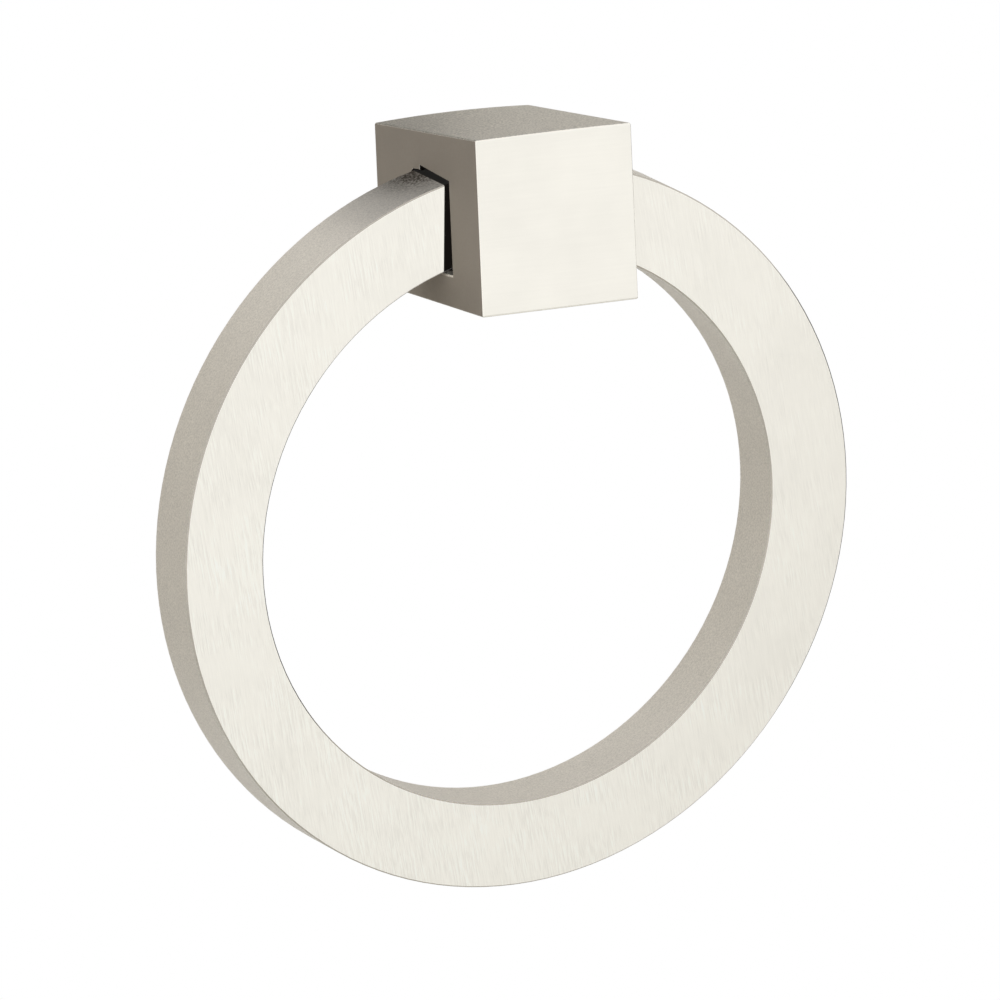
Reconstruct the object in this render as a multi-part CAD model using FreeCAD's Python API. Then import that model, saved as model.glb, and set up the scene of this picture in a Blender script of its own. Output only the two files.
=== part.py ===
import FreeCAD, Part
import math
import os

# Ring pull handle for a drawer or cabinet door, in millimetres and degrees.
# The origin is the mouth of the fixing hole, in the middle of the block's back face.
# +Y points into the drawer, -Y towards the user, +X to the right and +Z up.

# Ring: flat on the front and back, turned on the inner and outer rims
RING_OUTSIDE_DIAMETER = 88.9
RING_FACE_WIDTH = 10.3
RING_THICKNESS = 8.15
RING_EDGE_CHAMFER = 0.15

# Block: a square bar end that narrows a little towards the drawer, with a slightly domed top
BLOCK_WIDTH = 20.8
BLOCK_DEPTH = 26.6
BLOCK_FRONT_HEIGHT = 21.2
BLOCK_BACK_HEIGHT = 19.6
BLOCK_FRONT_DOME = 0.08
BLOCK_BACK_DOME = 0.32
BLOCK_EDGE_ROUNDING = 0.25

# Channel: the arched window through the block that holds the ring. The front of its ceiling
# is relieved, and the back of it lies close over the ring.
FRONT_WALL = 7.55
CEILING_SLOPE = 8.0
RELIEF_DEPTH = 7.3
MOUTH_CHAMFER = 0.15

# Seat of the ring: its section's middle lies this far above the middle of the block
RING_SEAT_HEIGHT = 0.85

# Swing of the ring, forwards from the place where its low edge meets the drawer
SWING_ANGLE = 9.0

# Clearances
FRONT_GAP = 1.5
CHANNEL_CLEARANCE = 0.12
BACK_GAP = 0.5
DRAWER_GAP = 0.2

# Fixing hole: tapping size of the usual 8-32 cabinet screw
SCREW_HOLE_DIAMETER = 3.45
SCREW_HOLE_DEPTH = 6.0
DRILL_POINT_ANGLE = 118.0

# Places worked out from the sizes above
RING_OUTER = RING_OUTSIDE_DIAMETER / 2
RING_INNER = RING_OUTER - RING_FACE_WIDTH
RING_MIDDLE = (RING_OUTER + RING_INNER) / 2
HALF_FACE = RING_FACE_WIDTH / 2
HALF_THICKNESS = RING_THICKNESS / 2
HINGE_Y = -BLOCK_DEPTH + FRONT_WALL + FRONT_GAP + HALF_THICKNESS
HINGE_Z = RING_SEAT_HEIGHT
HINGE_POINT = FreeCAD.Vector(0, HINGE_Y, HINGE_Z)
RING_CENTRE = FreeCAD.Vector(0, HINGE_Y, HINGE_Z - RING_MIDDLE)
ACROSS = FreeCAD.Vector(1, 0, 0)
INTO_DRAWER = FreeCAD.Vector(0, 1, 0)


def lean_angle():
    """Degrees that the ring leans back until its low back edge stands at the drawer."""
    drop = RING_OUTER + RING_MIDDLE
    reach = math.hypot(drop, HALF_THICKNESS)
    to_drawer = -HINGE_Y - DRAWER_GAP
    return math.degrees(math.asin(to_drawer / reach) - math.atan2(HALF_THICKNESS, drop))


def section_reach(angle):
    """How far the ring's section reaches above and below its middle when turned by an angle."""
    turn = math.radians(angle)
    return HALF_FACE * math.cos(turn) + HALF_THICKNESS * math.sin(turn)


def make_ring():
    """The closed ring, turned back by its lean about the line through its section in the channel."""
    low = RING_CENTRE + FreeCAD.Vector(RING_INNER, -HALF_THICKNESS, 0)
    section = Part.makePlane(RING_FACE_WIDTH, RING_THICKNESS, low)
    ring = section.revolve(RING_CENTRE, INTO_DRAWER, 360)
    rims = [edge for edge in ring.Edges if edge.isClosed()]
    ring = ring.makeChamfer(RING_EDGE_CHAMFER, rims)
    ring.rotate(HINGE_POINT, ACROSS, lean_angle())
    return ring


def block_outline(height, dome, y):
    """The block's outline across the drawer at one depth, with its domed top edge."""
    side = BLOCK_WIDTH / 2
    half = height / 2
    low_left = FreeCAD.Vector(-side, y, -half)
    low_right = FreeCAD.Vector(side, y, -half)
    top_right = FreeCAD.Vector(side, y, half)
    top_left = FreeCAD.Vector(-side, y, half)
    crest = FreeCAD.Vector(0, y, half + dome)
    edges = [
        Part.LineSegment(low_left, low_right).toShape(),
        Part.LineSegment(low_right, top_right).toShape(),
        Part.Arc(top_right, crest, top_left).toShape(),
        Part.LineSegment(top_left, low_left).toShape(),
    ]
    return Part.Wire(edges)


def make_blank():
    """The block before its channel and hole are cut, with every outer edge eased."""
    front = block_outline(BLOCK_FRONT_HEIGHT, BLOCK_FRONT_DOME, -BLOCK_DEPTH)
    back = block_outline(BLOCK_BACK_HEIGHT, BLOCK_BACK_DOME, 0)
    blank = Part.makeLoft([front, back], True, True)
    return blank.makeFillet(BLOCK_EDGE_ROUNDING, blank.Edges)


def channel_point(radius, y):
    """A point of the window's section, in the block's middle plane."""
    return RING_CENTRE + FreeCAD.Vector(0, y, radius)


def make_channel():
    """The cutter for the window: its section turned about the ring's own centre line.

    The floor clears the ring's lowest edge at rest, and the back of the ceiling its highest.
    The relief over the front edge clears it when the ring is swung right forward. The back
    upper corner is the arc on which the ring's edge swings about the hinge line.
    """
    lean = lean_angle()
    forward = SWING_ANGLE - lean
    front = -HALF_THICKNESS - FRONT_GAP
    back = HALF_THICKNESS * math.cos(math.radians(lean)) + HALF_FACE * math.sin(math.radians(lean)) + BACK_GAP
    floor = RING_MIDDLE - max(section_reach(lean), section_reach(forward)) - CHANNEL_CLEARANCE
    slope = math.tan(math.radians(CEILING_SLOPE))
    edge_y = HALF_FACE * math.sin(math.radians(forward)) - HALF_THICKNESS * math.cos(math.radians(forward))
    edge_radius = RING_MIDDLE + section_reach(forward) + CHANNEL_CLEARANCE
    step = front + RELIEF_DEPTH
    relief_front = edge_radius + (front - edge_y) * slope
    relief_back = edge_radius + (step - edge_y) * slope
    rise = section_reach(lean) + CHANNEL_CLEARANCE
    swing = math.hypot(HALF_FACE, HALF_THICKNESS) + CHANNEL_CLEARANCE
    ceiling_end = RING_MIDDLE + rise, math.sqrt(swing ** 2 - rise ** 2)
    wall_top = RING_MIDDLE + math.sqrt(swing ** 2 - back ** 2), back
    turn = (math.atan2(rise, ceiling_end[1]) + math.acos(back / swing)) / 2
    arc_middle = RING_MIDDLE + swing * math.sin(turn), swing * math.cos(turn)
    relief = [(relief_front, front), (relief_back, step), (RING_MIDDLE + rise, step)]
    corners = [wall_top, (floor, back), (floor, front)] + relief + [ceiling_end]
    points = [channel_point(radius, y) for radius, y in corners]
    arc = Part.Arc(points[-1], channel_point(*arc_middle), points[0]).toShape()
    section = Part.Face(Part.Wire(Part.makePolygon(points).Edges + [arc]))
    sweep = 2 * math.degrees(math.asin(BLOCK_WIDTH / floor))
    section.rotate(RING_CENTRE, INTO_DRAWER, -sweep / 2)
    return section.revolve(RING_CENTRE, INTO_DRAWER, sweep)


def make_screw_hole():
    """The cutter for the blind fixing hole, with the drill's point at its end."""
    radius = SCREW_HOLE_DIAMETER / 2
    point = radius / math.tan(math.radians(DRILL_POINT_ANGLE / 2))
    bore = Part.makeCylinder(radius, SCREW_HOLE_DEPTH, FreeCAD.Vector(0, 0, 0), -INTO_DRAWER)
    tip = Part.makeCone(radius, 0, point, FreeCAD.Vector(0, -SCREW_HOLE_DEPTH, 0), -INTO_DRAWER)
    return bore.fuse(tip)


def mouth_edges(block):
    """The edges where the channel opens in the two sides of the block."""
    side = BLOCK_WIDTH / 2
    found = []
    for edge in block.Edges:
        box = edge.BoundBox
        on_side = box.XLength < MOUTH_CHAMFER and abs(abs(box.Center.x) - side) < MOUTH_CHAMFER
        inside = box.ZMax < BLOCK_BACK_HEIGHT / 2 - BLOCK_EDGE_ROUNDING and box.ZMin > -BLOCK_BACK_HEIGHT / 2
        behind_front = box.YMin > -BLOCK_DEPTH + FRONT_WALL / 2
        if on_side and inside and behind_front and box.YMax < -SCREW_HOLE_DEPTH:
            found.append(edge)
    return found


def make_block():
    """The mounting block with its arched channel and fixing hole."""
    block = make_blank().cut(make_channel())
    block = block.makeChamfer(MOUTH_CHAMFER, mouth_edges(block))
    return block.cut(make_screw_hole())


def main():
    parts = {"mount_block": make_block(), "ring": make_ring()}
    os.makedirs("parts", exist_ok=True)
    for name, shape in parts.items():
        shape.exportStep(f"parts/{name}.step")
        print(name, "volume", round(shape.Volume, 2), "solids", len(shape.Solids), "valid", shape.isValid())
    print("lean", round(lean_angle(), 3))


main()
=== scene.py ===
import bpy
import math
from mathutils import Matrix, Vector


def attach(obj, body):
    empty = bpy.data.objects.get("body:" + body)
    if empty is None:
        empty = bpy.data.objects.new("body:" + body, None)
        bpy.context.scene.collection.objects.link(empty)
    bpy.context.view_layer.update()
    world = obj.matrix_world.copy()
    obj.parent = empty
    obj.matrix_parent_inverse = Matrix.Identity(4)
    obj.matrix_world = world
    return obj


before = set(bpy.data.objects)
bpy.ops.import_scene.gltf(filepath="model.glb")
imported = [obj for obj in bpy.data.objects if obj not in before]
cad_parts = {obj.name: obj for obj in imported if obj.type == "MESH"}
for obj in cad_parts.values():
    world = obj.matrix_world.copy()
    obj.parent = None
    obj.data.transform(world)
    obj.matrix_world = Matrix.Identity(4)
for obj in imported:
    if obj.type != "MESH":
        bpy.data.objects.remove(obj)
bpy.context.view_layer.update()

# Mounting block. The real one is a square brass bar end with an arched window through it for the
# ring. It is milled, brushed from side to side on the front and back, blasted on the top and
# bottom, plated with satin nickel, and screwed to the drawer from inside.
MM = 0.001

# Each finish is its colour, its roughness and how strongly its pattern shows in the tone.
FRONT_FINISH = "#FCF9F0", 0.34, 0.015
# The sides' roughness is their milled finish, and their dark tone is painted shade.
SIDE_FINISH_AND_SHADE = "#A49C92", 0.7, 0.03
TOP_FINISH = "#E1DCD3", 0.4, 0.45
EASED_FINISH = "#FCF9F0", 0.15, 0.0
# The inside of the window is painted near black, as shade.
WINDOW_PAINTED_SHADE = "#171412", 0.7, 0.1

# The length and width of a brush stroke, the size of a blasted grain, and the size of the soft
# clouds in the plate, in mm. In such finishes a stroke is usually about 0.05 mm wide and a grain
# about 0.08 mm, and a pixel of the picture is 0.12 mm. Both are too fine to show, so the strokes
# are drawn six times as coarse here and the grain three times.
FRONT_STROKE = 9.0, 0.3
BLAST_GRAIN = 0.24
CLOUD = 9.0

# Most of a pattern lies between the two values of its spread. The clouds change the tone a little,
# and the pattern also stands up as a faint relief, whose height is in mm.
PATTERN_SPREAD = 0.3, 0.7
CLOUD_TONES = 0.97, 1.015
RELIEF_STRENGTH, RELIEF_HEIGHT = 0.12, 0.02

# How far a face looks along an axis, from 0 to 1. One above the second value counts as facing that
# way, and one below the first doesn't. A slanting edge is at its own value, give or take its reach.
FACING = 0.75, 0.95
SLANT, SLANT_REACH = 0.7, 0.2

# The painted shade inside the window fills a box: its middle, and how far it reaches, in mm.
WINDOW_MIDDLE = 0.0, -14.0, 1.0
WINDOW_REACH = 10.39, 6.5, 7.2


def linear(hex_colour):
    """An sRGB hex colour as the linear red, green, blue and alpha that a shader takes."""
    values = [int(hex_colour[i:i + 2], 16) / 255 for i in (1, 3, 5)]
    return [v / 12.92 if v <= 0.04045 else ((v + 0.055) / 1.055) ** 2.4 for v in values] + [1.0]


def add_node(tree, kind, settings=None, inputs=None):
    """A new shader node with its settings, and its inputs set to values or joined to sockets."""
    node = tree.nodes.new("ShaderNode" + kind)
    for name, value in (settings or {}).items():
        setattr(node, name, value)
    for name, value in (inputs or {}).items():
        if isinstance(value, bpy.types.NodeSocket):
            tree.links.new(value, node.inputs[name])
        else:
            node.inputs[name].default_value = value
    return node


def new_material(name):
    """An empty material, its tree, and the node that gives places on the piece."""
    material = bpy.data.materials.new(name)
    material.use_nodes = True
    material.node_tree.nodes.clear()
    return material, material.node_tree, add_node(material.node_tree, "TexCoord")


def look_along(tree, place, axis):
    """How far a face looks along an axis, either way: 1 right along it and 0 square to it."""
    part = add_node(tree, "SeparateXYZ", inputs={"Vector": place.outputs["Normal"]})
    return add_node(tree, "Math", {"operation": "ABSOLUTE"}, {0: part.outputs[axis]}).outputs[0]


def faces_along(tree, place, axis):
    """1 on the faces that look along an axis, either way, and 0 on the others."""
    mask = add_node(tree, "MapRange", {"interpolation_type": "SMOOTHSTEP"}, {
        "Value": look_along(tree, place, axis), "From Min": FACING[0], "From Max": FACING[1]})
    return mask.outputs["Result"]


def slanting_edges(tree, place, axis):
    """1 on the narrow faces that slant halfway to an axis, and 0 on the others."""
    mask = add_node(tree, "Math", {"operation": "COMPARE"}, {
        0: look_along(tree, place, axis), 1: SLANT, 2: SLANT_REACH})
    return mask.outputs[0]


def within(tree, place, middle, reach):
    """1 inside a box given by its middle and how far it reaches in mm, and 0 outside."""
    spot = add_node(tree, "SeparateXYZ", inputs={"Vector": place.outputs["Object"]})
    mask = 1.0
    for axis, centre, half in zip("XYZ", middle, reach):
        near = add_node(tree, "Math", {"operation": "COMPARE"}, {
            0: spot.outputs[axis], 1: centre * MM, 2: half * MM})
        both = add_node(tree, "Math", {"operation": "MULTIPLY"}, {0: near.outputs[0], 1: mask})
        mask = both.outputs[0]
    return mask


def brush_strokes(tree, place, turn, length, width):
    """Fine strokes along X, turned about Y by some degrees, as a value round 0.5."""
    turned = add_node(tree, "Mapping", inputs={
        "Vector": place.outputs["Object"], "Rotation": (0, math.radians(turn), 0)})
    squeezed = add_node(tree, "Mapping", inputs={
        "Vector": turned.outputs["Vector"],
        "Scale": (1 / (length * MM), 1 / (length * MM), 1 / (width * MM))})
    strokes = add_node(tree, "TexNoise", inputs={
        "Vector": squeezed.outputs["Vector"], "Scale": 1.0, "Detail": 3.0, "Roughness": 0.65})
    return strokes.outputs["Fac"]


def nickel(tree, finish, pattern, clouds):
    """Satin nickel in one finish: its tone follows a pattern and clouds, its relief the pattern."""
    colour, roughness, contrast = finish
    tone = add_node(tree, "MapRange", inputs={
        "Value": pattern, "From Min": PATTERN_SPREAD[0], "From Max": PATTERN_SPREAD[1],
        "To Min": 1 - contrast, "To Max": 1 + contrast / 2})
    cloud = add_node(tree, "MapRange", inputs={
        "Value": clouds, "From Min": PATTERN_SPREAD[0], "From Max": PATTERN_SPREAD[1],
        "To Min": CLOUD_TONES[0], "To Max": CLOUD_TONES[1]})
    whole = add_node(tree, "Math", {"operation": "MULTIPLY"}, {
        0: tone.outputs["Result"], 1: cloud.outputs["Result"]})
    tinted = add_node(tree, "VectorMath", {"operation": "SCALE"}, {
        0: linear(colour)[:3], "Scale": whole.outputs[0]})
    relief = add_node(tree, "Bump", inputs={
        "Strength": RELIEF_STRENGTH, "Distance": RELIEF_HEIGHT * MM, "Height": pattern})
    plate = add_node(tree, "BsdfPrincipled", inputs={
        "Base Color": tinted.outputs[0], "Metallic": 1.0, "Roughness": roughness,
        "Normal": relief.outputs["Normal"]})
    return plate.outputs[0]


def lay_finishes(tree, surface, finishes):
    """One finish all over, with others laid on it in turn, each where its mask is 1."""
    for mask, finish in finishes:
        surface = add_node(tree, "MixShader", inputs={0: mask, 1: surface, 2: finish}).outputs[0]
    add_node(tree, "OutputMaterial", inputs={"Surface": surface})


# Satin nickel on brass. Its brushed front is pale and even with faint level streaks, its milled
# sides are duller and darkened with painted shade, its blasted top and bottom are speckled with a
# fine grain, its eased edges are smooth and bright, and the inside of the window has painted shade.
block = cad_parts["mount_block"]
material, tree, place = new_material("satin_nickel_block_with_painted_shade")
clouds = add_node(tree, "TexNoise", inputs={
    "Vector": place.outputs["Object"], "Scale": 1 / (CLOUD * MM), "Detail": 2.0,
    "Roughness": 0.6}).outputs["Fac"]
grain = add_node(tree, "TexNoise", inputs={
    "Vector": place.outputs["Object"], "Scale": 1 / (BLAST_GRAIN * MM), "Detail": 2.0,
    "Roughness": 0.6}).outputs["Fac"]
strokes = brush_strokes(tree, place, 0, *FRONT_STROKE)
lay_finishes(tree, nickel(tree, TOP_FINISH, grain, clouds), [
    (faces_along(tree, place, "X"), nickel(tree, SIDE_FINISH_AND_SHADE, grain, clouds)),
    (faces_along(tree, place, "Y"), nickel(tree, FRONT_FINISH, strokes, clouds)),
    (slanting_edges(tree, place, "Y"), nickel(tree, EASED_FINISH, strokes, clouds)),
    (within(tree, place, WINDOW_MIDDLE, WINDOW_REACH), nickel(tree, WINDOW_PAINTED_SHADE, grain, clouds)),
])
block.data.materials[0] = material
# The block is kept out of the ring's reflections, so the ring's face stays bright up to the window.
block.visible_glossy = False

# Screw thread. The fixing hole is tapped for the usual 8-32 cabinet screw, and its thread is cut in
# the brass of the block itself, so it has the block's nickel. It is drawn as a closed ridge that
# stands in the bore, and the eye sees a fine bright spiral that winds into the hole.

# Lengths are in mm, and the flank is half the width of the ridge's foot.
THREAD_PITCH = 0.794
THREAD_OUTER = 1.72
THREAD_DEPTH = 0.2
THREAD_FLANK = 0.26
THREAD_START = 0.5
THREAD_TURNS = 6
STEPS_A_TURN = 40

ridge = [(THREAD_OUTER, -THREAD_FLANK), (THREAD_OUTER - THREAD_DEPTH, 0),
         (THREAD_OUTER, THREAD_FLANK)]
points = []
for step in range(THREAD_TURNS * STEPS_A_TURN + 1):
    angle = 2 * math.pi * step / STEPS_A_TURN
    depth = THREAD_START + THREAD_PITCH * step / STEPS_A_TURN
    for radius, shift in ridge:
        points.append((radius * math.cos(angle) * MM, -(depth + shift) * MM,
                       radius * math.sin(angle) * MM))
sides = []
for first in range(0, len(points) - 3, 3):
    for a, b in ((0, 1), (1, 2), (2, 0)):
        sides.append((first + a, first + b, first + b + 3, first + a + 3))
ends = [(2, 1, 0), (len(points) - 3, len(points) - 2, len(points) - 1)]
mesh = bpy.data.meshes.new("screw_thread")
mesh.from_pydata(points, [], sides + ends)
mesh.materials.append(material)
thread = bpy.data.objects.new("screw_thread", mesh)
bpy.context.scene.collection.objects.link(thread)
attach(thread, "block")

# Ring. The real one is brass bar, bent round, put through the block, brazed shut and filed flush.
# Its faces are brushed nearly upright on a belt, which eases their edges, its rims are blasted, and
# it has satin nickel plate. The length in the window is painted near black, as shade.
FACE_FINISH = "#FFFCF3", 0.3, 0.085
RIM_FINISH = "#EEE9E1", 0.42, 0.17
# The eased edges' smoothness is their belt finish, and their darker tone is a painted shaded line.
EDGE_FINISH_AND_SHADE = "#BFB9AF", 0.2, 0.085
# The length of the ring inside the window is painted near black, as shade.
HIDDEN_PAINTED_SHADE = "#171412", 0.42, 0.1
# Painted shade: the block's shadow and dark reflection, as dark specks on the rims beside it.
RIM_PAINTED_SHADE = "#645A50", 0.42, 0.45

# The belt's turn from level in degrees, the length and width of its strokes, and the rims' grain,
# in mm. Strokes and grain are drawn about three times as coarse as they usually are, so that they
# show, and the specks of the painted shade beside the block nearly four times.
BELT_TURN = 100.5
BELT_STROKE = 3.0, 0.16
RIM_GRAIN = 0.22
RIM_SHADE_GRAIN = 0.3

# How deep the belt cut, each time as a place and a depth. The place is the distance to the right
# and up added together, in mm. It also cut deeper and fainter in patches, whose size is in mm.
DEEP_STROKES = -75.0, 1.45
FAINT_STROKES = 15.0, 0.55
PATCH = 5.0
PATCH_SPREAD = 0.35, 0.65
PATCH_DEPTHS = 0.3, 1.6

# How far the length painted dark as shade reaches from the window's middle. Then the painted shade
# on the rims beside the block: how far out it runs, between which depths it darkens to the back,
# above which level it lies, how dark it is at the front, and how much its specks change it.
# Lengths are in mm.
HIDDEN_REACH = 10.4, 9.0, 12.0
RIM_SHADE_LENGTH = 10.2, 18.0
RIM_SHADE_DEPTH = -17.0, -11.5
RIM_SHADE_ABOVE = -20
RIM_SHADE_AT_FRONT = 0.4
RIM_SHADE_SPECKS = 1.4, 0.6


def bitten(tree, place, strokes, patches):
    """The strokes as deep as the belt cut them, deep at the low left, faint at the upper right."""
    spot = add_node(tree, "SeparateXYZ", inputs={"Vector": place.outputs["Object"]})
    across = add_node(tree, "Math", {"operation": "ADD"}, {
        0: spot.outputs["X"], 1: spot.outputs["Z"]})
    depth = add_node(tree, "MapRange", inputs={
        "Value": across.outputs[0], "From Min": DEEP_STROKES[0] * MM,
        "From Max": FAINT_STROKES[0] * MM, "To Min": DEEP_STROKES[1], "To Max": FAINT_STROKES[1]})
    patch = add_node(tree, "MapRange", inputs={
        "Value": patches, "From Min": PATCH_SPREAD[0], "From Max": PATCH_SPREAD[1],
        "To Min": PATCH_DEPTHS[0], "To Max": PATCH_DEPTHS[1]})
    whole = add_node(tree, "Math", {"operation": "MULTIPLY"}, {
        0: depth.outputs["Result"], 1: patch.outputs["Result"]})
    level = add_node(tree, "Math", {"operation": "SUBTRACT"}, {0: strokes, 1: 0.5})
    cut = add_node(tree, "Math", {"operation": "MULTIPLY_ADD"}, {
        0: level.outputs[0], 1: whole.outputs[0], 2: 0.5})
    return cut.outputs[0]


# Where the block's painted shadow and dark reflection lie on the rims.
def painted_rim_shade(tree, place, grain):
    """1 beside the block at the ring's back edge, fading out along the rim and to the front."""
    spot = add_node(tree, "SeparateXYZ", inputs={"Vector": place.outputs["Object"]})
    side = add_node(tree, "Math", {"operation": "ABSOLUTE"}, {0: spot.outputs["X"]})
    along = add_node(tree, "MapRange", {"interpolation_type": "SMOOTHSTEP"}, {
        "Value": side.outputs[0], "From Min": RIM_SHADE_LENGTH[0] * MM,
        "From Max": RIM_SHADE_LENGTH[1] * MM, "To Min": 1.0, "To Max": 0.0})
    back = add_node(tree, "MapRange", {"interpolation_type": "SMOOTHSTEP"}, {
        "Value": spot.outputs["Y"], "From Min": RIM_SHADE_DEPTH[0] * MM,
        "From Max": RIM_SHADE_DEPTH[1] * MM, "To Min": RIM_SHADE_AT_FRONT, "To Max": 1.0})
    high = add_node(tree, "Math", {"operation": "GREATER_THAN"}, {
        0: spot.outputs["Z"], 1: RIM_SHADE_ABOVE * MM})
    corner = add_node(tree, "Math", {"operation": "MULTIPLY"}, {
        0: along.outputs["Result"], 1: back.outputs["Result"]})
    upper = add_node(tree, "Math", {"operation": "MULTIPLY"}, {
        0: corner.outputs[0], 1: high.outputs[0]})
    specks = add_node(tree, "MapRange", inputs={
        "Value": grain, "From Min": PATCH_SPREAD[0], "From Max": PATCH_SPREAD[1],
        "To Min": RIM_SHADE_SPECKS[0], "To Max": RIM_SHADE_SPECKS[1]})
    speckled = add_node(tree, "Math", {"operation": "MULTIPLY", "use_clamp": True}, {
        0: upper.outputs[0], 1: specks.outputs["Result"]})
    return speckled.outputs[0]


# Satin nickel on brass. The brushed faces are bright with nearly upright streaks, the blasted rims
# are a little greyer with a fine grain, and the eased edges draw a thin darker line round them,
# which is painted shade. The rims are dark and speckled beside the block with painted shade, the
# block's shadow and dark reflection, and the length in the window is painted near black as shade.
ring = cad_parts["ring"]
material, tree, place = new_material("satin_nickel_ring_with_painted_shade")
clouds = add_node(tree, "TexNoise", inputs={
    "Vector": place.outputs["Object"], "Scale": 1 / (CLOUD * MM), "Detail": 6.0,
    "Roughness": 0.6}).outputs["Fac"]
patches, grain, rim_shade_grain = [add_node(tree, "TexNoise", inputs={
    "Vector": place.outputs["Object"], "Scale": 1 / (size * MM), "Detail": 2.0,
    "Roughness": 0.6}).outputs["Fac"] for size in (PATCH, RIM_GRAIN, RIM_SHADE_GRAIN)]
strokes = bitten(tree, place, brush_strokes(tree, place, BELT_TURN, *BELT_STROKE), patches)
lay_finishes(tree, nickel(tree, RIM_FINISH, grain, clouds), [
    (painted_rim_shade(tree, place, rim_shade_grain), nickel(tree, RIM_PAINTED_SHADE, rim_shade_grain, clouds)),
    (faces_along(tree, place, "Y"), nickel(tree, FACE_FINISH, strokes, clouds)),
    (slanting_edges(tree, place, "Y"), nickel(tree, EDGE_FINISH_AND_SHADE, strokes, clouds)),
    (within(tree, place, WINDOW_MIDDLE, HIDDEN_REACH), nickel(tree, HIDDEN_PAINTED_SHADE, grain, clouds)),
])
ring.data.materials[0] = material

# Studio cards. The light is plain white all round, and four matte paper cards that the camera
# doesn't see give the metal something to reflect: a wide grey one and a small dark one behind it, a
# pale one low in front, and a dark one at the right for the ring's eased edges.


def add_card(name, size, place, facing, colour):
    """A flat matte card: its width and height, its place and the point it faces, in metres."""
    mesh = bpy.data.meshes.new(name)
    x, y = size[0] / 2, size[1] / 2
    mesh.from_pydata([(-x, -y, 0), (x, -y, 0), (x, y, 0), (-x, y, 0)], [], [(0, 1, 2, 3)])
    card = bpy.data.objects.new(name, mesh)
    bpy.context.scene.collection.objects.link(card)
    card.location = place
    card.rotation_euler = (Vector(facing) - Vector(place)).to_track_quat("Z", "Y").to_euler()
    material = bpy.data.materials.new(name + "_paper")
    material.use_nodes = True
    paper = material.node_tree.nodes["Principled BSDF"]
    paper.inputs["Base Color"].default_value = linear(colour)
    paper.inputs["Roughness"].default_value = 1.0
    paper.inputs["Specular IOR Level"].default_value = 0.0
    mesh.materials.append(material)
    return card


cards = [
    add_card("back_card", (1.2, 0.9), (-0.15, 0.45, 0.0), (-0.15, 0, 0.0), "#CBC8C1"),
    add_card("dark_top_card", (0.036, 0.036), (0.0, 0.04, 0.042),
             (-0.0137, -0.0135, 0.006), "#201E1B"),
    add_card("front_card", (0.3, 0.3), (0.3, -0.18, -0.27), (0, -0.013, -0.04), "#C9C6C0"),
    add_card("dark_right_card", (0.4, 0.38), (0.5, 0.25, -0.1), (0.02, -0.013, -0.02), "#33302C"),
]
for card in cards:
    card.visible_camera = False

# Floor. A plain pale paper sheet lies well below the handle, which is shown as it hangs on a drawer
# front. It takes shadows near its middle, and for the camera and for reflections it turns to plain
# white further out, which gives the white background. Lengths are in metres.
FLOOR_LEVEL = -0.30
FLOOR_SIZE = 6, 6
FLOOR_COLOUR = "#EFEFED"
FLOOR_FADE = 0.4, 0.8

floor = add_card("floor", FLOOR_SIZE, (0, 0, FLOOR_LEVEL), (0, 0, 1), FLOOR_COLOUR)
tree = floor.data.materials[0].node_tree
place = add_node(tree, "TexCoord")
distance = add_node(tree, "VectorMath", {"operation": "LENGTH"}, {0: place.outputs["Object"]})
far = add_node(tree, "MapRange", {"interpolation_type": "SMOOTHSTEP"}, {
    "Value": distance.outputs["Value"], "From Min": FLOOR_FADE[0], "From Max": FLOOR_FADE[1]})
ray = add_node(tree, "LightPath")
eye_or_mirror = add_node(tree, "Math", {"operation": "ADD"}, {
    0: ray.outputs["Is Camera Ray"], 1: ray.outputs["Is Glossy Ray"]})
seen = add_node(tree, "Math", {"operation": "ADD", "use_clamp": True}, {
    0: eye_or_mirror.outputs[0], 1: ray.outputs["Is Transmission Ray"]})
white = add_node(tree, "Math", {"operation": "MULTIPLY"}, {
    0: far.outputs["Result"], 1: seen.outputs[0]})
paper = tree.nodes["Principled BSDF"]
glow = add_node(tree, "Emission", inputs={"Color": (1, 1, 1, 1), "Strength": 1.0})
blend = add_node(tree, "MixShader", inputs={
    0: white.outputs[0], 1: paper.outputs[0], 2: glow.outputs[0]})
tree.links.new(blend.outputs[0], tree.nodes["Material Output"].inputs["Surface"])

# Light. The studio is plain white all round the handle, at the strength at which a colour renders
# about as it is written, and there are no lamps.
world = bpy.data.worlds.new("studio_white")
bpy.context.scene.world = world
world.use_nodes = True
world.node_tree.nodes["Background"].inputs["Color"].default_value = (1, 1, 1, 1)
world.node_tree.nodes["Background"].inputs["Strength"].default_value = 1.0

# Camera. It stands to the left of the handle and a little above it, far away, with a long lens.
# Angles are in degrees, the distances and the point it aims at in metres, and the lens in mm.
CAMERA_AZIMUTH = -26.834
CAMERA_ELEVATION = 9.486
CAMERA_ROLL = -2.465
CAMERA_DISTANCE = 2.344086
CAMERA_AIM = -0.003353, -0.015052, -0.034747
SENSOR = 36.0
LENS = 707.995
FARTHEST_SEEN = 20

turn, rise = math.radians(CAMERA_AZIMUTH), math.radians(CAMERA_ELEVATION)
back = Vector((math.sin(turn) * math.cos(rise), -math.cos(turn) * math.cos(rise), math.sin(rise)))
upright = back.to_track_quat("Z", "Y").to_matrix()
view = upright @ Matrix.Rotation(math.radians(CAMERA_ROLL), 3, "Z")
camera_data = bpy.data.cameras.new("camera")
camera_data.sensor_width = SENSOR
camera_data.lens = LENS
camera_data.clip_end = FARTHEST_SEEN
camera = bpy.data.objects.new("camera", camera_data)
bpy.context.scene.collection.objects.link(camera)
stand = Vector(CAMERA_AIM) + back * CAMERA_DISTANCE
camera.matrix_world = Matrix.Translation(stand) @ view.to_4x4()
bpy.context.scene.camera = camera
bpy.context.scene.view_settings.view_transform = "Standard"
